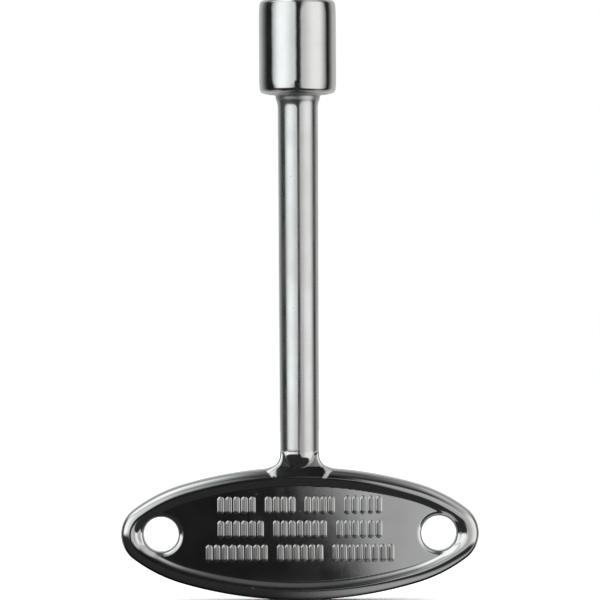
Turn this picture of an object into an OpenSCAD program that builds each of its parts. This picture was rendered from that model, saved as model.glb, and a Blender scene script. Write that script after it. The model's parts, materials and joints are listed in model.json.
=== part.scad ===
// Valve key: a round socket on a slim shank, turned by a flat oval bow.
// Millimetres. The origin is the centre of the socket's mouth, +Z points out of the mouth along
// the drive axis, X runs along the wide bow and -Y is the bow's front face.

/* [Socket] */
// Outside diameter of the socket
socket_d = 12.7; // [12.2:0.1:16]
// Length of the socket
socket_len = 15.4; // [15:0.1:22]
// Rounding of the socket's outer edges
socket_edge_r = 0.8; // [0.3:0.1:0.9]
// Side of the large square at the mouth
large_square = 8.1; // [7.9:0.05:8.3]
// Depth of the large square
large_depth = 8; // [6:0.1:8.4]
// Side of the small square below it
small_square = 6.5; // [6.3:0.05:6.7]
// Depth of the small square
small_depth = 4.4; // [3:0.1:4.6]

/* [Shank] */
// Diameter of the shank under the socket
shank_top_d = 6.6; // [6.2:0.05:6.8]
// Diameter of the shank at the bow
shank_foot_d = 6.4; // [6.2:0.05:6.8]
// Distance from the socket's mouth to the top edge of the bow
reach = 76.9; // [50:0.1:200]

/* [Bow] */
// Width of the bow
bow_w = 59; // [56:0.5:70]
// Height of the bow
bow_h = 21.9; // [21:0.1:26]
// Width of the bow's raised rim
rim_w = 2.2; // [1.6:0.1:2.8]
// Thickness of the bow over its rim
rim_t = 5.2; // [4.8:0.1:5.6]
// Thickness of the sunk field inside the rim
field_t = 4.4; // [4:0.1:4.6]
// Diameter of the two hang holes
hole_d = 5.7; // [4:0.1:5.8]
// Distance between the hang holes' centres
hole_pitch = 45.7; // [44:0.1:46]
// Width of the bevel round each hang hole
hole_bevel = 0.45; // [0.1:0.05:0.5]

/* [Grip ribs] */
// Height of one rib above the field
rib_h = 0.35; // [0.2:0.05:0.4]
// Width of one rib
rib_w = 0.6; // [0.5:0.05:0.8]
// Length of one rib
rib_len = 2.5; // [1.5:0.1:3]
// Spacing of the ribs along a row
rib_pitch = 1.3; // [1.1:0.05:1.4]
// Spacing of the three rows
row_pitch = 3.95; // [3.2:0.05:4]

/* [Hidden] */
$fn = 64;
eps = 0.02;                  // overlap that joins two solids

socket_r = socket_d / 2;
square_corner_r = 0.6;       // rounding in the corners of both squares
mouth_lead_in = 0.9;         // 45 degree lead-in at the mouth
bush_lead_in = 0.4;          // 45 degree lead-in to the small square
rear_bore_r = 5.2;           // bore that takes the reducer bush and the shank's flange
lip_t = 1;                   // rear lip, rolled in over the flange
lip_hole_r = 4.45;
flange_top = -large_depth - small_depth;
flange_bottom = -socket_len + lip_t;

neck_r = 4.25;               // shank inside the rear lip
neck_fillet_r = 0.9;         // fillet from the neck to the shank
neck_end = -socket_len - neck_fillet_r;
shank_top_r = shank_top_d / 2;
shank_foot_r = shank_foot_d / 2;

root_r = 2.5;                // fillet from the bow's boss to its top edge
dome_up = 2.3;               // centre of the boss's domed foot, above the bow's top edge
flare_depth = 1.9;           // how far the fillets run down into the rim
flare_t = rim_t - 0.2;       // thickness of the fillets on both sides of the boss
shoulder_z = -reach + root_r;    // the shank's shoulder stands on the boss
spigot_r = 2.2;              // spigot below the shoulder
spigot_foot = -reach - 0.6;
tang_t = 1.8;                // flat tang that the bow is cast round
tang_w = 7;
tang_len = 8.5;
tang_hole_d = 3;             // filled by the casting, which locks the tang

bow_z = -reach - bow_h / 2;  // height of the bow's centre
rib_groups = [[5, 4, 4, 5], [6, 7, 6], [8, 6, 8]];   // ribs in each group, row by row
rows_up = 0.8;               // the rows' middle, above the bow's centre

// The bow's elliptical outline, drawn in by inset.
module oval(inset) {
    half_h = bow_h / 2 - inset;
    scale([(bow_w / 2 - inset) / half_h, 1]) circle(half_h);
}

// Flat oval with its field sunk inside a raised rim, front and back.
module plate() {
    difference() {
        linear_extrude(rim_t, center = true) oval(0);
        for (side = [0, 1]) mirror([0, 0, side])
            translate([0, 0, field_t / 2]) linear_extrude(rim_t) oval(rim_w);
    }
}

module hang_hole() {
    cylinder(d = hole_d, h = rim_t + 2, center = true);
    for (side = [0, 1]) mirror([0, 0, side])
        translate([0, 0, field_t / 2 - hole_bevel])
            cylinder(r1 = hole_d / 2, r2 = hole_d / 2 + 2 * hole_bevel, h = 2 * hole_bevel);
}

module rib_outline() {
    square([rib_w, rib_len - rib_w], center = true);
    for (end = [-1, 1]) translate([0, end * (rib_len - rib_w) / 2]) circle(d = rib_w);
}

// Places along a row taken up by its first groups. One place stays empty after every group.
function places(groups, count) = count == 0 ? 0 : groups[count - 1] + 1 + places(groups, count - 1);

module rib_row(groups) {
    middle = (places(groups, len(groups)) - 2) / 2;
    for (g = [0:len(groups) - 1], i = [0:groups[g] - 1])
        translate([(places(groups, g) + i - middle) * rib_pitch, 0]) rib_outline();
}

module ribs() {
    translate([0, rows_up, field_t / 2 - eps]) linear_extrude(rib_h + eps)
        for (row = [0:2]) translate([0, (1 - row) * row_pitch]) rib_row(rib_groups[row]);
}

// Round boss under the shank's shoulder. Its foot is a dome that sinks into the rim, and a
// fillet flares from it into the bow's top edge on both sides.
module root() {
    dome_z = -reach + dome_up;
    flare_foot = -reach - flare_depth;
    full_r = shank_foot_r + root_r;
    rotate_extrude() {
        translate([0, dome_z]) square([shank_foot_r, shoulder_z - dome_z]);
        intersection() {
            translate([0, dome_z]) circle(shank_foot_r);
            translate([0, dome_z - shank_foot_r]) square(shank_foot_r + eps);
        }
    }
    intersection() {
        rotate_extrude() difference() {
            translate([0, flare_foot]) square([full_r, flare_depth + root_r]);
            translate([full_r, shoulder_z]) circle(root_r);
        }
        translate([0, 0, (shoulder_z + flare_foot) / 2])
            cube([3 * full_r, flare_t, 2 * (shoulder_z - flare_foot)], center = true);
    }
}

// The end of the shank that the bow is cast round.
module shank_end() {
    difference() {
        union() {
            translate([0, 0, spigot_foot]) cylinder(r = spigot_r, h = shoulder_z - spigot_foot);
            translate([0, 0, spigot_foot - tang_len / 2])
                cube([tang_w, tang_t, tang_len + eps], center = true);
        }
        translate([0, 0, spigot_foot - tang_len / 2]) rotate([90, 0, 0])
            cylinder(d = tang_hole_d, h = tang_t + 2, center = true);
    }
}

module bow() {
    color("#8d9092") difference() {
        union() {
            translate([0, 0, bow_z]) rotate([90, 0, 0]) {
                difference() {
                    plate();
                    for (side = [-1, 1]) translate([side * hole_pitch / 2, 0, 0]) hang_hole();
                }
                ribs();
            }
            root();
        }
        shank_end();
    }
}

module shank() {
    color("#c4c6c8") {
        translate([0, 0, flange_bottom]) cylinder(r = rear_bore_r, h = flange_top - flange_bottom);
        translate([0, 0, -socket_len]) cylinder(r = neck_r, h = lip_t + eps);
        rotate_extrude() difference() {
            translate([0, neck_end]) square([neck_r, neck_fillet_r + eps]);
            translate([shank_top_r + neck_fillet_r, neck_end]) circle(neck_fillet_r);
        }
        translate([0, 0, shoulder_z])
            cylinder(r1 = shank_foot_r, r2 = shank_top_r, h = neck_end - shoulder_z + eps);
        shank_end();
    }
}

module rounded_square(side) {
    inner = side - 2 * square_corner_r;
    square([inner, side], center = true);
    square([side, inner], center = true);
    for (x = [-1, 1], y = [-1, 1]) translate([x, y] * inner / 2) circle(square_corner_r);
}

module socket() {
    edge_x = socket_r - socket_edge_r;
    color("#d2d4d6") difference() {
        rotate_extrude() {
            translate([0, -socket_len]) square([edge_x, socket_len]);
            translate([0, socket_edge_r - socket_len]) square([socket_r, socket_len - 2 * socket_edge_r]);
            for (z = [-socket_edge_r, socket_edge_r - socket_len])
                translate([edge_x, z]) circle(socket_edge_r);
        }
        translate([0, 0, -large_depth - eps]) linear_extrude(large_depth + 1) rounded_square(large_square);
        translate([0, 0, -mouth_lead_in])
            cylinder(r1 = large_square / 2, r2 = large_square / 2 + 2 * mouth_lead_in, h = 2 * mouth_lead_in);
        translate([0, 0, flange_bottom]) cylinder(r = rear_bore_r, h = -large_depth - flange_bottom);
        translate([0, 0, -socket_len - 1]) cylinder(r = lip_hole_r, h = lip_t + 2);
    }
}

module reducer_bush() {
    color("#9a9c9e") translate([0, 0, flange_top]) difference() {
        cylinder(r = rear_bore_r, h = small_depth);
        translate([0, 0, -1]) linear_extrude(small_depth + 2) rounded_square(small_square);
        translate([0, 0, small_depth - bush_lead_in])
            cylinder(r1 = small_square / 2, r2 = small_square / 2 + 2 * bush_lead_in, h = 2 * bush_lead_in);
    }
}

socket();
reducer_bush();
shank();
bow();
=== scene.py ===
"""Chrome valve key: smooth meshes and plated-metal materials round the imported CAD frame."""

import json
import math

import bpy
import numpy as np
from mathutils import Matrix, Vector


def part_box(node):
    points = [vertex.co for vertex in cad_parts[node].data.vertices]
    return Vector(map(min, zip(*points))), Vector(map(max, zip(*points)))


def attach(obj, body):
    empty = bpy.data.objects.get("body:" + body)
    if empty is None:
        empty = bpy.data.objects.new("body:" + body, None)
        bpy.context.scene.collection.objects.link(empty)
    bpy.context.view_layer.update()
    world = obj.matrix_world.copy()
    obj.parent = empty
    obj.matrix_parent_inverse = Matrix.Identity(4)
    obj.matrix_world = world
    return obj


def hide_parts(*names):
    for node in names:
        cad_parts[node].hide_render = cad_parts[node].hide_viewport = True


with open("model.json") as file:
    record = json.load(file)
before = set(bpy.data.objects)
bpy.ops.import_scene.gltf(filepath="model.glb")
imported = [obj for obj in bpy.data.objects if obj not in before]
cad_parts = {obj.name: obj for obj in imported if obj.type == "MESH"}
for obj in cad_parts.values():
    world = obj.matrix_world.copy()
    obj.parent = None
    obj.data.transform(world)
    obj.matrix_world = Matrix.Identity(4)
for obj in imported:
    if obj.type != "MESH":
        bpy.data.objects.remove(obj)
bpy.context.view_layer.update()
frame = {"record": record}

MM = 0.001
MOUNTS = {m["name"]: m for m in frame["record"]["mounts"]}
SOCKET_LO, SOCKET_HI = (np.array(c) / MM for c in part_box("socket"))
BUSH_LO, BUSH_HI = (np.array(c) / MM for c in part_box("reducer_bush"))
SHANK_HI = np.array(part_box("shank")[1]) / MM
BOW_LO, BOW_HI = (np.array(c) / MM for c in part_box("bow"))

# ---------------------------------------------------------------- sizes, in millimetres

SOCKET_R = SOCKET_HI[0]
SOCKET_LEN = -SOCKET_LO[2]
EDGE_R = 0.8                 # rounding of the socket's outer edges
LARGE_SQUARE = 8.1
SMALL_SQUARE = 6.5
SQUARE_CORNER_R = 0.6
MOUTH_LEAD_IN = 0.9
BUSH_LEAD_IN = 0.4
REAR_BORE_R = BUSH_HI[0]
LIP_HOLE_R = 4.45
LIP_T = 1.0
LIP_BEAD = 0.12              # rolled bead round the lip, proud of the underside

NECK_R = 4.25
NECK_FILLET = 0.9
SHANK_TOP_R = 3.3
SHANK_FOOT_R = 3.2

ROOT_R = 2.5                 # height of the root fillet above the bow's top edge
FIELD_HALF = 2.2             # half the thickness of the bow's field
RIM_HALF = 2.6               # and of its rim
BEAD_R = 2.2                 # rounding of the rim
BEAD_IN = 1.6                # the rim's crest, in from the outline
RIM_W = 3.1                  # rim and the hollow inside it together
RIM_EDGE = 0.7               # rounding between the rim and the outline's wall
HOLE_R = MOUNTS["hang_hole_right"]["dims"]["r_mm"]
HOLE_X = MOUNTS["hang_hole_right"]["pos_m"][0] / MM
HOLE_BEVEL = 0.45
RIB_W = 0.6
RIB_LEN = 2.5
RIB_H = 0.35
RIB_DRAFT = 0.3              # lean of the ribs' sides, per unit of height
RIB_ROUND = 0.25
RIB_BLEND = 0.14             # fillet between a rib and the field
RIB_PITCH = 1.3
ROW_PITCH = 3.95
ROW_GROUPS = ((5, 4, 4, 5), (6, 7, 6), (8, 6, 8))
ROWS_UP = 0.8                # the rows' middle above the bow's middle

BOW_HALF_W = BOW_HI[0]
BOW_HALF_H = 10.95
BOW_Z = BOW_LO[2] + BOW_HALF_H
BOW_TOP = BOW_Z + BOW_HALF_H
SHOULDER_Z = BOW_TOP + ROOT_R

# ---------------------------------------------------------------- finish, light and camera

SEGMENTS = 256               # points round each turned ring
BOW_GRID = 0.15              # spacing of the bow's mesh
FLARE_HALF = 2.5             # half the thickness of the fillets beside the boss
FLARE_DEPTH = 1.9            # how far they run down into the rim
FLARE_FLAT = 3.7             # they're flat in front up to here
FLARE_TAPER = 0.16           # and how fast they thin out further on
FLARE_FOOT_ROUND = 1.4
FLARE_EDGE_ROUND = 0.5
FLARE_BLEND = 0.6
DOME_Z = BOW_TOP + 2.3       # centre of the dome that ends the boss
BOSS_UP = 0.8                # the boss runs on this far inside the foot of the shank
BOSS_INSET = 0.012           # and stays this far below its surface
BOSS_BLEND = 0.35
CUT_ROUND = 0.1              # where the boss and the fillets end under the shank
HOLE_ROUND = 0.3
NUB = (-7.7, -2.3, -96.7)    # trace of the casting gate on the lower rim
NUB_R = 0.1
NUB_BLEND = 0.3
WAVED_FROM_R = 5.6           # only walls this far from the axis are wavy
LIP_BEAD_R = 0.4             # rounding of the lip's bead
NECK_TAIL = 0.30             # soft run-out of the fillet under the socket
NECK_TAIL_LEN = 1.5
SHOULDER_LEN = 1.5           # the socket's wall eases in over this length at both ends
SHOULDER_IN = 0.09           # and comes in by this much
WAVE_SLOW = 0.004            # height of the long and the short polishing waves
WAVE_QUICK = 0.0012

# soft boxes, in degrees from the camera's view: sides and how soft they are, middle, lower and
# upper end, and how soft the lower end is
LEFT_BOX = {"sides": (-76, -5), "soft": (22, 5), "centre": -42, "low": -13, "high": 30, "low_soft": 7}
RIGHT_BOX = {"sides": (9, 86), "soft": (6, 20), "centre": 52, "low": -30, "high": 27, "low_soft": 15}
BOX_TOP_SOFT = 10
BOX_HALF_W = 42
BOX_ROUND = 18.0             # degrees that the soft boxes' ends curve in

CHROME_LEVEL = 0.66          # what the plate gives back
CHROME_ROUGH = 0.05
COOL = (0.985, 1.0, 1.005)
NEUTRAL = (1.0, 1.0, 0.99)
WARM = (1.05, 1.0, 0.92)
MIRROR_GAIN = 1.0 / CHROME_LEVEL
FLOOR_LIGHT = 1.8
FLOOR_R = 900.0
FLOOR_SHEET = 0.33           # what the chrome mirrors of the floor: a pale sheet behind the key,
FLOOR_STRIP = 0.30           # a grey strip before it at the right
FLOOR_FRONT = 0.02           # and nearly black elsewhere in front
DARK_WALL = 0.02

# left, right, foot and top of the two grey cards, and where they stand
FAR_CARD, FAR_CARD_Y = (-14.0, 86.0, -168.0, -92.0), -650.0
NEAR_CARD, NEAR_CARD_Y = (10.0, 62.0, -135.0, -45.0), -100.0
WALL_R = 300.0               # dark wall that hides the left soft box's lower end from the bow
WALL_TURN = (12.0, 110.0)    # degrees it spans, from the camera's direction to the left
WALL_TOP = -101.0
WALL_SOFT = 19.0             # its top edge fades over this, up and down

SENSOR = 36.0
CAMERA_DISTANCE = 700.0
FRAME_HEIGHT = 98.9          # what the picture's height covers at the key
CAMERA_X = 0.2
CAMERA_Z = -49.4
CAMERA_ROLL = 0.3


# ---------------------------------------------------------------- meshes

def new_object(name, vertices, faces, normals=None):
    """A smooth-shaded object from arrays in millimetres."""
    mesh = bpy.data.meshes.new(name)
    mesh.from_pydata((np.asarray(vertices) * MM).tolist(), [], [list(map(int, f)) for f in faces])
    mesh.update()
    mesh.shade_smooth()
    if normals is not None:
        mesh.normals_split_custom_set_from_vertices(normals.tolist())
    obj = bpy.data.objects.new(name, mesh)
    bpy.context.scene.collection.objects.link(obj)
    return obj


def smooth_min(a, b, k):
    h = np.maximum(k - np.abs(a - b), 0) / k
    return np.minimum(a, b) - h * h * k / 4


def smooth_max(a, b, k):
    return -smooth_min(-a, -b, k)


# The bow's outline as tangent arcs that follow the ellipse: end, shoulder and crown.
END_R = 5.15
SHOULDER_DIR = np.array([0.6, 0.8])
CROWN_DIR = np.array([0.28, 0.96])


def oval_arcs():
    half_w, half_h = BOW_HALF_W - END_R, BOW_HALF_H - END_R
    system = np.array([
        [SHOULDER_DIR[0], CROWN_DIR[0]],
        [1 - SHOULDER_DIR[1], 1 - CROWN_DIR[1]],
    ])
    gain = np.linalg.solve(system, [half_w, half_h])
    end = np.array([half_w, 0.0])
    shoulder = end - gain[0] * SHOULDER_DIR
    crown = shoulder - gain[1] * CROWN_DIR
    return end, shoulder, crown, END_R + gain[0], END_R + gain[0] + gain[1]


END_C, SHOULDER_C, CROWN_C, SHOULDER_R, CROWN_R = oval_arcs()


def oval_distance(x, z):
    """Signed distance from the bow's outline, negative inside."""
    ax, az = np.abs(x), np.abs(z - BOW_Z)
    distance = np.hypot(ax - END_C[0], az) - END_R
    sx, sz = ax - SHOULDER_C[0], az - SHOULDER_C[1]
    on_shoulder = sz * SHOULDER_DIR[0] > sx * SHOULDER_DIR[1]
    distance = np.where(on_shoulder, np.hypot(sx, sz) - SHOULDER_R, distance)
    cx, cz = ax - CROWN_C[0], az - CROWN_C[1]
    on_crown = cz * CROWN_DIR[0] > cx * CROWN_DIR[1]
    return np.where(on_crown, np.hypot(cx, cz) - CROWN_R, distance)


BEAD_X = RIM_W - BEAD_IN
BEAD_Y = RIM_HALF - BEAD_R
COVE_STEP = BEAD_Y - FIELD_HALF
COVE_R = (BEAD_X ** 2 + COVE_STEP ** 2 - BEAD_R ** 2) / (2 * (BEAD_R + COVE_STEP))
COVE_Y = FIELD_HALF + COVE_R


def rim_section(r, v):
    """Signed distance from the rim's section. r runs from the field's edge out, v is the height."""
    field = v - FIELD_HALF
    cove = COVE_R - np.hypot(r, v - COVE_Y)
    rise = np.where(r > BEAD_X, np.maximum(v - BEAD_Y, 0), v - BEAD_Y)
    bead = smooth_max(np.hypot(r - BEAD_X, rise) - BEAD_R, r - RIM_W, RIM_EDGE)
    past_joint = r * (COVE_Y - BEAD_Y) + (v - COVE_Y) * BEAD_X > 0
    return np.where(past_joint, bead, np.where(r > 0, cove, field))


def rib_centres():
    """Middle of every grip rib: (x, height) in groups with one rib left out between groups."""
    centres = []
    for row, groups in enumerate(ROW_GROUPS):
        places = sum(groups) + len(groups) - 1
        place = 0
        for group in groups:
            for _ in range(group):
                x = (place - (places - 1) / 2) * RIB_PITCH
                centres.append((x, BOW_Z + ROWS_UP + (1 - row) * ROW_PITCH))
                place += 1
            place += 1
    return centres


def rib_field(x, z, depth):
    """Distance from the nearest grip rib. depth is the height above the bow's middle plane."""
    across = np.full(x.shape, np.inf)
    for rib_x, rib_z in RIB_CENTRES:
        dz = np.maximum(np.abs(z - rib_z) - (RIB_LEN - RIB_W) / 2, 0)
        across = np.minimum(across, np.hypot(x - rib_x, dz))
    rise = depth - FIELD_HALF
    side = across - RIB_W / 2 + RIB_DRAFT * (rise - RIB_H / 2)
    return np.maximum(smooth_max(side, rise - RIB_H, RIB_ROUND), FIELD_HALF / 2 - depth)


RIB_CENTRES = rib_centres()
RIB_REACH = max(abs(x) for x, _ in RIB_CENTRES) + 1.5    # the ribs lie within this, sideways
ROW_REACH = ROW_PITCH + RIB_LEN / 2 + 0.5                # and within this, up and down


def bow_distance(p):
    """Signed distance from the bow's surface, roughly, and exactly 0 on it."""
    x, y, z = p[..., 0], p[..., 1], p[..., 2]
    outline = oval_distance(x, z)
    plate = rim_section(RIM_W + outline, np.abs(y))
    # grip ribs on the front only
    in_rows = (np.abs(x) < RIB_REACH) & (np.abs(z - BOW_Z - ROWS_UP) < ROW_REACH)
    near = in_rows & (y < -FIELD_HALF / 2)
    if near.any():
        ribs = rib_field(x[near], z[near], -y[near])
        plate[near] = smooth_min(plate[near], ribs, RIB_BLEND)
    # hang holes with a soft 45 degree bevel
    hole = HOLE_R - np.hypot(np.abs(x) - HOLE_X, z - BOW_Z)
    bevel = (np.abs(y) - FIELD_HALF + hole + HOLE_BEVEL) * math.sqrt(0.5)
    plate = smooth_max(plate, smooth_max(hole, bevel, HOLE_ROUND), HOLE_ROUND)
    # the boss carries the shank's round on and ends in a dome that sinks into the rim
    below = np.minimum(z - DOME_Z, 0)
    boss = np.sqrt(x ** 2 + y ** 2 + below ** 2) - (SHANK_FOOT_R - BOSS_INSET)
    boss = smooth_max(boss, z - SHOULDER_Z - BOSS_UP, CUT_ROUND)
    # fillets that flare from its sides into the bow's top edge
    beyond = np.maximum(np.abs(x) - FLARE_FLAT, 0)
    flare = smooth_min(np.abs(x) - SHANK_FOOT_R, outline, ROOT_R)
    flare = smooth_max(flare, BOW_TOP - FLARE_DEPTH + beyond - z, FLARE_FOOT_ROUND)
    flare = smooth_max(flare, z - SHOULDER_Z, CUT_ROUND)
    flare = smooth_max(flare, np.abs(y) - FLARE_HALF + FLARE_TAPER * beyond ** 2, FLARE_EDGE_ROUND)
    solid = smooth_min(plate, flare, FLARE_BLEND)
    solid = smooth_min(solid, boss, BOSS_BLEND)
    nub = np.sqrt((x - NUB[0]) ** 2 + (y - NUB[1]) ** 2 + (z - NUB[2]) ** 2) - NUB_R
    return smooth_min(solid, nub, NUB_BLEND)


SETTLING_ROUNDS = 6
LEAST_SLOPE = 0.05           # keeps a vertex from being thrown far where the distance is flat


def surface_nets(distance, low, high, step):
    """Quad mesh of the zero surface of a distance function, with its vertices on the surface."""
    axes = [np.arange(a, b + step, step) for a, b in zip(low, high)]
    shape = [len(a) for a in axes]
    value = np.empty(shape, np.float32)
    for i, x in enumerate(axes[0]):
        grid = np.empty((shape[1], shape[2], 3))
        grid[..., 0] = x
        grid[..., 1] = axes[1][:, None]
        grid[..., 2] = axes[2][None, :]
        value[i] = distance(grid)
    inside = value < 0
    corners = np.zeros([n - 1 for n in shape], np.int8)
    offsets = [(i, j, k) for i in (0, 1) for j in (0, 1) for k in (0, 1)]
    for i, j, k in offsets:
        corners += inside[i:shape[0] - 1 + i, j:shape[1] - 1 + j, k:shape[2] - 1 + k]
    cells = np.argwhere((corners > 0) & (corners < 8))
    number = np.full(corners.shape, -1, np.int64)
    number[tuple(cells.T)] = np.arange(len(cells))
    # one vertex in every cell that the surface crosses, then moved onto the surface
    points = np.array(low) + (cells + 0.5) * step
    for _ in range(SETTLING_ROUNDS):
        grad = gradient(distance, points)
        f = distance(points)
        move = f / np.maximum((grad * grad).sum(1), LEAST_SLOPE)
        shift = -grad * move[:, None]
        length = np.linalg.norm(shift, axis=1)
        limit = np.minimum(1, 0.5 * step / np.maximum(length, 1e-9))
        points = points + shift * limit[:, None]
    # one quad round every grid edge that the surface crosses
    quads = []
    for axis in range(3):
        a, b = [n for n in range(3) if n != axis]
        first = [slice(1, n - 1) for n in shape]
        first[axis] = slice(0, shape[axis] - 1)
        second = list(first)
        second[axis] = slice(1, shape[axis])
        lo, hi = inside[tuple(first)], inside[tuple(second)]
        edges = np.argwhere(lo != hi)
        out = lo[tuple(edges.T)]
        for n in (a, b):
            edges[:, n] += 1
        ring = []
        for da, db in ((0, 0), (-1, 0), (-1, -1), (0, -1)):
            cell = edges.copy()
            cell[:, a] += da
            cell[:, b] += db
            ring.append(number[tuple(cell.T)])
        ring = np.array(ring).T
        flip = out if axis == 1 else ~out
        ring[flip] = ring[flip][:, ::-1]
        quads.append(ring)
    quads = np.vstack(quads)
    grad = gradient(distance, points)
    normals = grad / np.linalg.norm(grad, axis=1, keepdims=True)
    return points, quads, normals


def gradient(distance, points, reach=0.01):
    """How fast the distance grows along each axis."""
    grad = np.empty_like(points)
    for axis in range(3):
        delta = np.zeros(3)
        delta[axis] = reach
        grad[:, axis] = (distance(points + delta) - distance(points - delta)) / (2 * reach)
    return grad


def make_bow():
    """The whole casting, from its lower rim to the top of the boss inside the shank."""
    margin = 0.5
    low = BOW_LO - margin
    high = np.array([BOW_HI[0], BOW_HI[1], SHOULDER_Z + BOSS_UP]) + margin
    points, quads, normals = surface_nets(bow_distance, low, high, BOW_GRID)
    return new_object("bow_casting", points, quads, normals)


# ---------------------------------------------------------------- turned pieces

ANGLES = np.arange(SEGMENTS) * 2 * math.pi / SEGMENTS


def circle(radius):
    return np.full(SEGMENTS, float(radius))


def rounded_square(side):
    """Distance from the axis to a square hole's wall in every direction."""
    half, centre = side / 2, side / 2 - SQUARE_CORNER_R
    c, s = np.abs(np.cos(ANGLES)), np.abs(np.sin(ANGLES))
    flat = half / np.maximum(c, s)
    across = (c + s) * centre
    root = np.sqrt(np.maximum(across ** 2 - 2 * centre ** 2 + SQUARE_CORNER_R ** 2, 0))
    in_corner = np.minimum(c, s) * flat > centre
    return np.where(in_corner, across + root, flat)


def arc(centre_r, centre_z, radius, start, end, steps=10):
    """Points of a fillet or a rounded edge, as (distance from the axis, height)."""
    turn = np.radians(np.linspace(start, end, steps + 1))
    return [(centre_r + radius * math.cos(t), centre_z + radius * math.sin(t)) for t in turn]


def line(start, end, count):
    """Evenly spaced points between two places, without the two themselves."""
    share = np.linspace(0, 1, count + 2)[1:-1]
    return [(start[0] + (end[0] - start[0]) * t, start[1] + (end[1] - start[1]) * t) for t in share]


def area_normals(points, faces):
    """Vertex normals that follow the larger faces, so flats stay flat beside rounded edges."""
    corners = points[faces]
    cross = np.cross(corners[:, 2] - corners[:, 0], corners[:, 3] - corners[:, 1])
    total = np.zeros_like(points)
    for corner in range(4):
        np.add.at(total, faces[:, corner], cross)
    length = np.linalg.norm(total, axis=1, keepdims=True)
    return total / np.maximum(length, 1e-12)


def turned_mesh(name, rings, closed):
    """A mesh from rings of (distance from the axis in every direction, height)."""
    radius = np.array([np.broadcast_to(r, SEGMENTS) for r, _ in rings])
    height = np.array([z for _, z in rings])[:, None] * np.ones(SEGMENTS)
    radius = radius + waviness(ANGLES[None, :], height) * (radius > WAVED_FROM_R)
    points = np.stack([radius * np.cos(ANGLES), radius * np.sin(ANGLES), height], -1).reshape(-1, 3)
    count = len(rings)
    bands = count if closed else count - 1
    ring, step = np.meshgrid(np.arange(bands), np.arange(SEGMENTS), indexing="ij")
    ring, step = ring.ravel(), step.ravel()
    upper, following = (ring + 1) % count, (step + 1) % SEGMENTS
    faces = np.stack([
        ring * SEGMENTS + step,
        upper * SEGMENTS + step,
        upper * SEGMENTS + following,
        ring * SEGMENTS + following,
    ], -1)
    normals = area_normals(points, faces)
    if closed:
        return new_object(name, points, faces, normals)
    top = list(range(SEGMENTS))
    foot = [(count - 1) * SEGMENTS + i for i in reversed(top)]
    return new_object(name, points, faces.tolist() + [top, foot], normals)


def shoulder(z):
    """How far the socket's wall has eased in towards its rounded ends."""
    from_end = np.minimum(-EDGE_R - z, z + SOCKET_LEN - EDGE_R)
    near = np.clip(1 - from_end / SHOULDER_LEN, 0, 1)
    return SHOULDER_IN * near ** 2


def waviness(angle, z):
    """Slight unevenness left by polishing, in millimetres. It never stands proud of the wall."""
    slow = np.sin(z * 0.9 + 2 * angle) + 0.7 * np.sin(z * 1.7 - 3 * angle + 1.3)
    quick = np.sin(z * 3.1 + 5 * angle + 0.4) + 0.8 * np.sin(z * 4.3 - 4 * angle + 2.1)
    return WAVE_SLOW * (slow - 1.7) + WAVE_QUICK * (quick - 1.8)


def make_socket():
    """Rings run down the outside, in over the rolled lip, up the rear bore and out of the mouth.

    Rings close beside an edge keep the shading flat right up to it."""
    edge_r, foot = SOCKET_R - EDGE_R - SHOULDER_IN, -SOCKET_LEN
    bore_top, bore_foot = BUSH_HI[2], foot + LIP_T
    square = rounded_square(LARGE_SQUARE)
    path = arc(edge_r, -EDGE_R, EDGE_R, 90, 0)
    wall = line((SOCKET_R, -EDGE_R), (SOCKET_R, foot + EDGE_R), 60)
    path += [(r - shoulder(z), z) for r, z in wall]
    path += arc(edge_r, foot + EDGE_R, EDGE_R, 0, -90)
    path += [(edge_r - 0.1, foot + 0.01), (edge_r - 0.22, foot + 0.015)]
    path += arc(LIP_HOLE_R + LIP_BEAD_R, foot + LIP_BEAD_R - LIP_BEAD, LIP_BEAD_R, -60, -180)
    path += [(LIP_HOLE_R, bore_foot), (REAR_BORE_R, bore_foot), (REAR_BORE_R, bore_foot + 0.05)]
    path += [(REAR_BORE_R, bore_top - 0.05), (REAR_BORE_R, bore_top)]
    rings = [(circle(r), z) for r, z in path]
    rings.append((square, bore_top))
    rings += [(square, z) for z in np.linspace(bore_top + 0.03, -MOUTH_LEAD_IN - 0.3, 30)]
    mouth_r = LARGE_SQUARE / 2 + MOUTH_LEAD_IN
    for depth in np.linspace(MOUTH_LEAD_IN + 0.25, 0.04, 30):
        lead_in = smooth_max(square, circle(mouth_r - depth), 0.08)
        rings.append((np.minimum(lead_in, edge_r - 0.02), -depth))
    face = np.minimum(smooth_max(square, circle(mouth_r), 0.08), edge_r - 0.02)
    rings.append((np.minimum(face + 0.012, edge_r - 0.015), -0.012))
    rings.append((np.minimum(face + 0.05, edge_r - 0.01), 0.0))
    return turned_mesh("socket_shell", rings, closed=True)


def make_bush():
    """Rings run down the outside and up through the small square."""
    top, foot = BUSH_HI[2], BUSH_LO[2]
    square = rounded_square(SMALL_SQUARE)
    mouth_r = SMALL_SQUARE / 2 + BUSH_LEAD_IN
    rings = [(circle(r), z) for r, z in arc(REAR_BORE_R - 0.15, top - 0.15, 0.15, 90, 0, 4)]
    rings += [(circle(REAR_BORE_R), foot + 0.02), (circle(REAR_BORE_R), foot), (square, foot)]
    rings += [(square, z) for z in np.linspace(foot + 0.02, top - BUSH_LEAD_IN - 0.2, 16)]
    for depth in np.linspace(BUSH_LEAD_IN + 0.15, 0.03, 16):
        rings.append((smooth_max(square, circle(mouth_r - depth), 0.06), top - depth))
    face = smooth_max(square, circle(mouth_r), 0.06)
    rings += [(face + 0.01, top - 0.008), (face + 0.04, top)]
    return turned_mesh("bush_sleeve", rings, closed=True)


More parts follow.
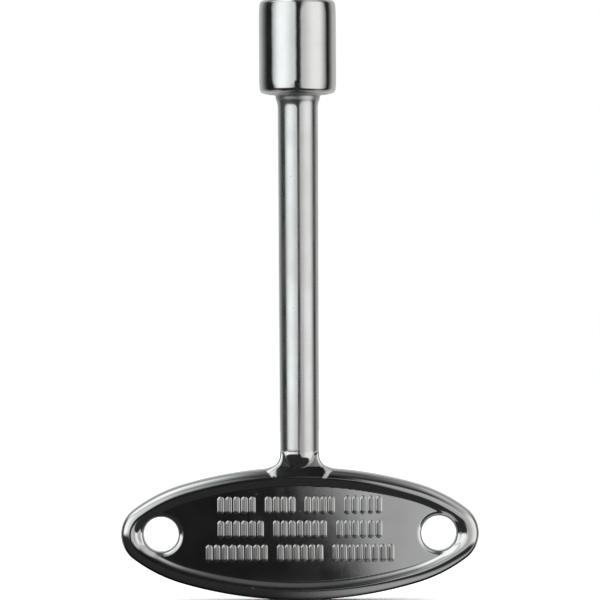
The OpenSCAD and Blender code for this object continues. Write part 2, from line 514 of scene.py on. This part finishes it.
def make_shank():
    """Rings run down from the flange inside the socket to the shoulder inside the bow's boss."""
    flange_top, flange_foot = SHANK_HI[2], -SOCKET_LEN + LIP_T
    neck_foot = -SOCKET_LEN
    # the small inner ring keeps the flange's face flat where it closes the squares
    rings = [(circle(r), flange_top) for r in (0.3, REAR_BORE_R - 0.3, REAR_BORE_R - 0.1)]
    rings.append((circle(REAR_BORE_R), flange_top - 0.1))
    rings += [(circle(REAR_BORE_R), flange_foot), (circle(NECK_R), flange_foot)]
    rings += [(circle(NECK_R), flange_foot - 0.03), (circle(NECK_R), neck_foot + 0.25)]
    rings += [(circle(r), z) for r, z in arc(NECK_R - 0.12, neck_foot + 0.13, 0.12, 0, -70, 4)]
    fillet_foot = neck_foot - NECK_FILLET
    tail_r = SHANK_TOP_R + NECK_TAIL
    # fillet arc between the neck and the soft tail that runs out along the shank
    span = NECK_R - 0.12 - tail_r
    steepest = math.radians(84)
    for turn in np.linspace(steepest, math.radians(14), 12):
        share_r = (1 - math.cos(turn)) / (1 - math.cos(steepest))
        share_z = math.sin(turn) / math.sin(steepest)
        rings.append((circle(tail_r + span * share_r), fillet_foot + (NECK_FILLET - 0.05) * share_z))
    for down in np.linspace(0.1, NECK_TAIL_LEN, 10):
        rings.append((circle(shank_radius(fillet_foot - down)), fillet_foot - down))
    for z in np.arange(fillet_foot - NECK_TAIL_LEN - 0.5, SHOULDER_Z + 0.2, -0.5):
        rings.append((circle(shank_radius(z)), z))
    rings.append((circle(SHANK_FOOT_R), SHOULDER_Z + 0.03))
    rings += [(circle(r), SHOULDER_Z) for r in (SHANK_FOOT_R - 0.03, SHANK_FOOT_R - 0.3, 0.3)]
    return turned_mesh("shank_rod", rings, closed=False)


def shank_radius(z):
    """The rod tapers a little, and the fillet under the socket runs out softly along it."""
    fillet_foot = -SOCKET_LEN - NECK_FILLET
    share = (z - SHOULDER_Z) / (fillet_foot - SHOULDER_Z)
    left = max(0.0, 1 - (fillet_foot - z) / NECK_TAIL_LEN)
    return SHANK_FOOT_R + (SHANK_TOP_R - SHANK_FOOT_R) * share + NECK_TAIL * left ** 2


# ---------------------------------------------------------------- shader graphs

class Wire:
    """A node's output that takes part in arithmetic."""

    def __init__(self, tree, socket):
        self.tree = tree
        self.socket = socket

    def __add__(self, other):
        return combine(self.tree, "ADD", self, other)

    def __sub__(self, other):
        return combine(self.tree, "SUBTRACT", self, other)

    def __rsub__(self, other):
        return combine(self.tree, "SUBTRACT", other, self)

    def __mul__(self, other):
        return combine(self.tree, "MULTIPLY", self, other)

    __radd__ = __add__
    __rmul__ = __mul__

    def ease(self, low, high):
        """0 at low, 1 at high, with a smooth run between; low may be above high."""
        node = self.tree.nodes.new("ShaderNodeMapRange")
        node.interpolation_type = "SMOOTHSTEP"
        self.tree.links.new(self.socket, node.inputs["Value"])
        node.inputs["From Min"].default_value = low
        node.inputs["From Max"].default_value = high
        return Wire(self.tree, node.outputs["Result"])

    def fade(self, low, high):
        """ease() between two places in millimetres."""
        return self.ease(low * MM, high * MM)


def put(tree, value, target):
    """Links a wire to an input, or sets the input to a plain value."""
    if isinstance(value, Wire):
        tree.links.new(value.socket, target)
    else:
        target.default_value = value


def combine(tree, operation, *values):
    node = tree.nodes.new("ShaderNodeMath")
    node.operation = operation
    for value, target in zip(values, node.inputs):
        put(tree, value, target)
    return Wire(tree, node.outputs[0])


def absolute(wire):
    return combine(wire.tree, "ABSOLUTE", wire)


def largest(a, b):
    return combine(a.tree, "MAXIMUM", a, b)


def mix_color(tree, factor, first, second):
    node = tree.nodes.new("ShaderNodeMix")
    node.data_type = "RGBA"
    put(tree, factor, node.inputs[0])
    put(tree, first, node.inputs[6])
    put(tree, second, node.inputs[7])
    return Wire(tree, node.outputs[2])


def grey(level, tint=(1, 1, 1)):
    return tuple(level * t for t in tint) + (1,)


def shader_mix(tree, factor, first, second):
    node = tree.nodes.new("ShaderNodeMixShader")
    put(tree, factor, node.inputs[0])
    tree.links.new(first, node.inputs[1])
    tree.links.new(second, node.inputs[2])
    return node.outputs[0]


def split(tree, vector_socket):
    node = tree.nodes.new("ShaderNodeSeparateXYZ")
    tree.links.new(vector_socket, node.inputs[0])
    return [Wire(tree, node.outputs[i]) for i in range(3)]


def axis_distance(x, y):
    """Distance from the key's axis."""
    return combine(x.tree, "SQRT", x * x + y * y)


def stretched(tree, vector_socket, scale):
    node = tree.nodes.new("ShaderNodeMapping")
    tree.links.new(vector_socket, node.inputs["Vector"])
    node.inputs["Scale"].default_value = scale
    return node.outputs["Vector"]


def noise(tree, vector_socket, scale, detail=2.0, roughness=0.5):
    node = tree.nodes.new("ShaderNodeTexNoise")
    tree.links.new(vector_socket, node.inputs["Vector"])
    node.inputs["Scale"].default_value = scale
    node.inputs["Detail"].default_value = detail
    node.inputs["Roughness"].default_value = roughness
    return Wire(tree, node.outputs["Fac"])


def cells(tree, vector_socket, scale):
    """Distance from the nearest of many scattered points."""
    node = tree.nodes.new("ShaderNodeTexVoronoi")
    tree.links.new(vector_socket, node.inputs["Vector"])
    node.inputs["Scale"].default_value = scale
    return Wire(tree, node.outputs["Distance"])


def scratches(tree, position, tilt, scale, keep):
    """Thin lines in one direction, in patches; 1 on a line."""
    turn = tree.nodes.new("ShaderNodeMapping")
    tree.links.new(position, turn.inputs["Vector"])
    turn.inputs["Rotation"].default_value = tilt
    turn.inputs["Scale"].default_value = (scale, scale, scale * 0.02)
    fine = noise(tree, turn.outputs["Vector"], 1.0, 1.0)
    patch = noise(tree, position, scale * 0.02, 2.0)
    return fine.ease(keep, keep + 0.05) * patch.ease(0.45, 0.65)


def bump(tree, height, distance, base=None):
    node = tree.nodes.new("ShaderNodeBump")
    node.inputs["Distance"].default_value = distance
    put(tree, height, node.inputs["Height"])
    if base is not None:
        tree.links.new(base.socket, node.inputs["Normal"])
    return Wire(tree, node.outputs["Normal"])


def crevices(tree, reach):
    """1 in tight corners, 0 in the open."""
    node = tree.nodes.new("ShaderNodeAmbientOcclusion")
    node.samples = 6
    node.inputs["Distance"].default_value = reach
    return 1 - Wire(tree, node.outputs["AO"])


def metal(name):
    """A metal material with its graph, its shader and the place on the piece.

    Noise scales are per metre, so 1000 gives about one wave per millimetre. Heights of the bump
    are in millimetres."""
    material = bpy.data.materials.new(name)
    material.use_nodes = True
    tree = material.node_tree
    shader = tree.nodes["Principled BSDF"]
    shader.inputs["Metallic"].default_value = 1.0
    position = tree.nodes.new("ShaderNodeTexCoord").outputs["Object"]
    return material, tree, shader, position


def finish_metal(tree, shader, color, roughness, normal, veil=0.0):
    """Connects the metal. veil is the share of a second, broad reflection."""
    put(tree, color, shader.inputs["Base Color"])
    put(tree, roughness, shader.inputs["Roughness"])
    put(tree, normal, shader.inputs["Normal"])
    broad = tree.nodes.new("ShaderNodeBsdfAnisotropic")
    put(tree, color, broad.inputs["Color"])
    broad.inputs["Roughness"].default_value = 0.5
    put(tree, normal, broad.inputs["Normal"])
    mixed = shader_mix(tree, veil, shader.outputs[0], broad.outputs[0])
    tree.links.new(mixed, tree.nodes["Material Output"].inputs["Surface"])


def chrome(name, peel, grain_axis, veil, worn=None, dull=None):
    """Bright chrome plate with orange peel, hairlines and pits, and painted shade that darkens its
    tight corners, which are rougher too.

    worn and dull give the places where the plate is thin and darker, or only less bright."""
    material, tree, shader, position = metal(name)
    haze = noise(tree, position, 190, 3)
    smear = noise(tree, stretched(tree, position, (1, 1, 0.35)), 420, 4, 0.6)
    hairlines = largest(
        scratches(tree, position, (0.5, 1.1, 0.9), 9000, 0.70),
        scratches(tree, position, (1.2, -0.7, 0.1), 8000, 0.71),
    )
    pits = cells(tree, position, 620).ease(0.085, 0.05) * noise(tree, position, 260).ease(0.56, 0.66)
    # painted shade: an occlusion mask darkens the colour to warm grey in tight corners and also makes
    # them rougher
    painted_corner_shade = crevices(tree, 0.7 * MM).ease(0.35, 0.95)
    bright, hazy = grey(CHROME_LEVEL, COOL), grey(CHROME_LEVEL * 0.95, NEUTRAL)
    color = mix_color(tree, haze.ease(0.35, 0.7), bright, hazy)
    color = mix_color(tree, pits * 0.75, color, grey(0.10, WARM))
    color = mix_color(tree, painted_corner_shade * 0.45, color, grey(0.12, WARM))
    rough = haze.ease(0.3, 0.75) * 0.02 + smear.ease(0.5, 0.8) * 0.035 + hairlines * 0.03 + pits * 0.25
    rough = rough + painted_corner_shade * 0.12 + CHROME_ROUGH
    if dull is not None:
        rough = rough + dull(tree, position) * 0.32
    if worn is not None:
        thin = worn(tree, position)
        streaks = noise(tree, stretched(tree, position, (1, 1, 0.06)), 5200, 2)
        bare = mix_color(tree, streaks, grey(0.26, WARM), grey(0.42))
        color = mix_color(tree, thin * 0.8, color, bare)
        rough = rough + thin * (streaks * 0.2 + 0.16)
    peel_height = noise(tree, position, 430, 2) * peel
    peel_height = peel_height + noise(tree, position, 1700, 2) * (peel * 0.05)
    grain = noise(tree, stretched(tree, position, grain_axis), 2600, 2)
    height = peel_height + grain * 0.0002 - hairlines * 0.0001 - pits * 0.006
    uneven_veil = haze.ease(0.2, 0.8) * veil + veil / 2
    finish_metal(tree, shader, color, rough, bump(tree, height, MM), uneven_veil)
    return material


def bare_steel(name):
    """Machined steel with a broached hole: turning marks on its face, lengthways lines inside."""
    material, tree, shader, position = metal(name)
    x, y, _ = split(tree, position)
    rings = combine(tree, "SINE", axis_distance(x, y) * 42000)
    streaks = noise(tree, stretched(tree, position, (1, 1, 0.05)), 6000, 2)
    stain = noise(tree, position, 330, 4, 0.65)
    # painted shade: an occlusion mask darkens the colour in tight corners and also makes them rougher
    painted_corner_shade = crevices(tree, 1.2 * MM).ease(0.25, 0.9)
    color = mix_color(tree, stain.ease(0.35, 0.75), grey(0.44), grey(0.30, WARM))
    color = mix_color(tree, painted_corner_shade * 0.6, color, grey(0.07, WARM))
    rough = streaks * 0.16 + stain * 0.12 + painted_corner_shade * 0.15 + 0.16
    height = rings * 0.0009 + streaks * 0.003 + stain * 0.002
    finish_metal(tree, shader, color, rough, bump(tree, height, MM))
    return material


def socket_inside(tree, position):
    """1 on the socket's inner walls, which plating hardly reaches."""
    x, y, z = split(tree, position)
    return axis_distance(x, y).fade(5.5, 5.3) * z.fade(-0.3, -1.6) * z.fade(-15.0, -14.5)


def crimp(tree, position):
    """1 round the shank's neck and the socket's rolled lip, where the plate is dull."""
    x, y, z = split(tree, position)
    return z.fade(-16.75, -16.4) * z.fade(-15.2, -15.35) * axis_distance(x, y).fade(5.6, 5.2)


def rib_tops(tree, position):
    """1 on the grip ribs, which rub against the hand."""
    x, y, z = split(tree, position)
    across = absolute(x).fade(RIB_REACH, RIB_REACH - 0.5)
    height = absolute(z - (BOW_Z + ROWS_UP) * MM).fade(ROW_REACH, ROW_REACH - 0.4)
    return across * height * y.fade(-FIELD_HALF - 0.02, -FIELD_HALF - 0.14)


def socket_plate():
    return chrome("socket_plate", 0.0030, (0.15, 0.15, 1), 0.05, worn=socket_inside, dull=crimp)


def shank_plate():
    return chrome("shank_plate", 0.0030, (1, 1, 0.1), 0.30, dull=crimp)


def bow_plate():
    return chrome("bow_plate", 0.0012, (1, 1, 1), 0.02, worn=rib_tops)


# ---------------------------------------------------------------- light

def between(wire, low, high, soft_low, soft_high):
    """1 between low and high, with soft ends."""
    return wire.ease(low - soft_low, low + soft_low) * wire.ease(high + soft_high, high - soft_high)


def soft_box(az, el, sides, soft, centre, low, high, low_soft):
    """A light that fades at its sides and has curved lower and upper ends."""
    off = (az - centre) * (1 / BOX_HALF_W)
    lift = off * off * off * off * BOX_ROUND
    level = between(az, *sides, *soft)
    level = level * (el - lift).ease(low - low_soft, low + low_soft)
    return level * (el + lift).ease(high + BOX_TOP_SOFT, high - BOX_TOP_SOFT)


def studio(tree):
    """What the chrome mirrors, by direction seen from the camera. Angles are in degrees."""
    direction = tree.nodes.new("ShaderNodeTexCoord").outputs["Generated"]
    turn = tree.nodes.new("ShaderNodeVectorTransform")
    turn.vector_type = "VECTOR"
    turn.convert_from = "WORLD"
    turn.convert_to = "CAMERA"
    tree.links.new(direction, turn.inputs[0])
    x, y, z = split(tree, turn.outputs[0])
    toward = z * -1
    az = combine(tree, "ARCTAN2", x, toward) * math.degrees(1)
    el = combine(tree, "ARCSINE", y) * math.degrees(1)

    left = soft_box(az, el, **LEFT_BOX) * (0.60 + 0.36 * az.ease(-8, -45))
    right = soft_box(az, el, **RIGHT_BOX) * (0.46 + 0.34 * az.ease(10, 52))
    level_band = between(el, -38, 40, 16, 14)
    rear = (az.ease(103, 138) + az.ease(-100, -155)) * level_band * 0.42
    # overhead: bright from the left panel upwards, grey to the right, dim in the middle
    behind = toward.ease(0.2, -0.4)
    over = el.ease(16, 42) * (x.ease(-0.06, -0.34) * 0.92 + x.ease(0.12, 0.42) * 0.40 + 0.07)
    over = largest(over * (1 - behind), el.ease(20, 60) * behind * 0.30)
    # low down: nearly black in front, grey at the back
    table = el.ease(-25, -60) * toward.ease(0.30, -0.05) * 0.30 + el.ease(-8, -26) * 0.014
    # dark figure at the camera
    figure = between(el, -8, -1.2, 1.5, 0.8) * between(az, -9, 1, 2, 1)
    left = left * (1 - figure)
    total = largest(left, over) + right + rear + table + 0.006
    tint = mix_color(tree, az.ease(-20, 20), grey(1, (0.97, 1.0, 1.0)), grey(1, (1.0, 0.992, 0.975)))
    node = tree.nodes.new("ShaderNodeEmission")
    put(tree, tint, node.inputs["Color"])
    put(tree, total * MIRROR_GAIN, node.inputs["Strength"])
    return node.outputs[0]


def flat_light(tree, strength):
    node = tree.nodes.new("ShaderNodeEmission")
    node.inputs["Strength"].default_value = strength
    return node.outputs[0]


def light_world():
    """White behind everything, even light for the floor, and the studio for the chrome."""
    world = bpy.data.worlds.new("studio")
    bpy.context.scene.world = world
    world.use_nodes = True
    tree = world.node_tree
    tree.nodes.clear()
    path = tree.nodes.new("ShaderNodeLightPath")
    diffuse = Wire(tree, path.outputs["Is Diffuse Ray"])
    direct = Wire(tree, path.outputs["Is Camera Ray"])
    lit = shader_mix(tree, diffuse, studio(tree), flat_light(tree, FLOOR_LIGHT))
    shown = shader_mix(tree, direct, lit, flat_light(tree, 1.0))
    output = tree.nodes.new("ShaderNodeOutputWorld")
    tree.links.new(shown, output.inputs["Surface"])


def make_floor():
    """A wide pale disc at the bow's foot, clear from below. The chrome mirrors a glow instead of it."""
    count = 96
    turn = np.arange(count) * 2 * math.pi / count
    foot = BOW_LO[2] - 0.02
    points = np.stack([FLOOR_R * np.cos(turn), FLOOR_R * np.sin(turn), np.full(count, foot)], -1)
    floor = new_object("studio_floor", points, [list(range(count))])
    material = bpy.data.materials.new("pale_floor")
    material.use_nodes = True
    tree = material.node_tree
    shader = tree.nodes["Principled BSDF"]
    shader.inputs["Base Color"].default_value = grey(0.9)
    shader.inputs["Roughness"].default_value = 0.9
    shader.inputs["Specular IOR Level"].default_value = 0.0
    clear = tree.nodes.new("ShaderNodeBsdfTransparent")
    geometry = tree.nodes.new("ShaderNodeNewGeometry")
    x, y, _ = split(tree, geometry.outputs["Position"])
    glow = tree.nodes.new("ShaderNodeEmission")
    strip = y.fade(-13, -7) * y.fade(-1, -3.5) * x.fade(-6, 18) * FLOOR_STRIP
    sheet = y.fade(8, 16) * FLOOR_SHEET
    front = y.fade(0, -4) * FLOOR_FRONT
    put(tree, (strip + sheet + front) * MIRROR_GAIN, glow.inputs["Strength"])
    mirrored = shader_mix(tree, axis_distance(x, y).fade(45, 62), glow.outputs[0], clear.outputs[0])
    path = tree.nodes.new("ShaderNodeLightPath")
    seen = shader_mix(tree, Wire(tree, path.outputs["Is Glossy Ray"]), shader.outputs[0], mirrored)
    shown = shader_mix(tree, Wire(tree, geometry.outputs["Backfacing"]), seen, clear.outputs[0])
    tree.links.new(shown, tree.nodes["Material Output"].inputs["Surface"])
    floor.data.materials.append(material)


def make_card(name, corners, faces, shade):
    """A grey card that only the chrome sees. shade gives its level and its cover at a place."""
    card = new_object(name, corners, faces)
    card.visible_camera = False
    card.visible_diffuse = False
    card.visible_shadow = False
    material = bpy.data.materials.new(name)
    material.use_nodes = True
    tree = material.node_tree
    x, _, z = split(tree, tree.nodes.new("ShaderNodeNewGeometry").outputs["Position"])
    # only rays that fall gently reach it, so the barrel further up doesn't mirror it
    fall = split(tree, tree.nodes.new("ShaderNodeNewGeometry").outputs["Incoming"])[2]
    level, cover = shade(x, z, fall)
    light = tree.nodes.new("ShaderNodeEmission")
    put(tree, level * MIRROR_GAIN, light.inputs["Strength"])
    clear = tree.nodes.new("ShaderNodeBsdfTransparent").outputs[0]
    shown = shader_mix(tree, cover, clear, light.outputs[0])
    tree.links.new(shown, tree.nodes["Material Output"].inputs["Surface"])
    card.data.materials.append(material)


def upright(extent, y):
    """Corners and face of a card that stands square to the camera."""
    left, right, foot, top = extent
    return [(left, y, foot), (right, y, foot), (right, y, top), (left, y, top)], [(0, 1, 2, 3)]


def curved_wall():
    """Corners and faces of a wall that runs round the key from the camera to the left."""
    turn = np.radians(np.linspace(*WALL_TURN, 49))
    ground = np.stack([-WALL_R * np.sin(turn), -WALL_R * np.cos(turn)], -1)
    corners = [(x, y, z) for z in (WALL_TOP - 160, WALL_TOP + WALL_SOFT + 1) for x, y in ground]
    count = len(ground)
    return corners, [(i, i + 1, i + 1 + count, i + count) for i in range(count - 1)]


def low_wall(_x, z, _fall):
    """The wall is dark, and its top edge is soft."""
    return DARK_WALL, z.fade(WALL_TOP + WALL_SOFT, WALL_TOP - WALL_SOFT)


def far_card(x, z, fall):
    """Low card beside the camera. Its slanted edge crosses the bow's field."""
    _, right, foot, top = FAR_CARD
    slant = x + (z + 108 * MM) * 0.565
    level = slant.fade(-6, 26) * (x.fade(0, 70) * 0.12 + 0.42)
    edge = between(z, foot * MM, top * MM, 4 * MM, 4 * MM) * x.fade(right, right - 8)
    return level, edge * slant.fade(-10, -2) * fall.ease(0.128, 0.115)


def near_card(x, z, fall):
    """Card close to the bow's right half, which lights the rim there."""
    left, right, foot, top = NEAR_CARD
    level = x.fade(12, 40) * 0.10 + 0.33
    sides = between(x, (left + 4) * MM, (right - 7) * MM, 4 * MM, 7 * MM)
    ends = between(z, (foot + 12) * MM, (top - 12) * MM, 12 * MM, 12 * MM)
    return level, sides * ends * fall.ease(0.38, 0.26)


def place_camera():
    """A long lens square to the bow's front, as in the picture."""
    data = bpy.data.cameras.new("photo_camera")
    data.sensor_width = SENSOR
    data.lens = SENSOR * CAMERA_DISTANCE / FRAME_HEIGHT
    data.clip_start = 0.01
    camera = bpy.data.objects.new("photo_camera", data)
    camera.location = (CAMERA_X * MM, -CAMERA_DISTANCE * MM, CAMERA_Z * MM)
    camera.rotation_euler = (math.radians(90), math.radians(CAMERA_ROLL), 0)
    bpy.context.scene.collection.objects.link(camera)
    bpy.context.scene.camera = camera


# ---------------------------------------------------------------- the key

def add_piece(piece, material, node):
    piece.data.materials.append(material)
    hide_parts(node)
    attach(piece, "root")


add_piece(make_socket(), socket_plate(), "socket")
add_piece(make_bush(), bare_steel("bush_metal"), "reducer_bush")
add_piece(make_shank(), shank_plate(), "shank")
add_piece(make_bow(), bow_plate(), "bow")

make_floor()
make_card("far_card", *upright(FAR_CARD, FAR_CARD_Y), far_card)
make_card("near_card", *upright(NEAR_CARD, NEAR_CARD_Y), near_card)
make_card("low_wall", *curved_wall(), low_wall)
light_world()
place_camera()
scene = bpy.context.scene
scene.view_settings.view_transform = "Standard"
scene.view_settings.look = "None"
scene.render.film_transparent = False
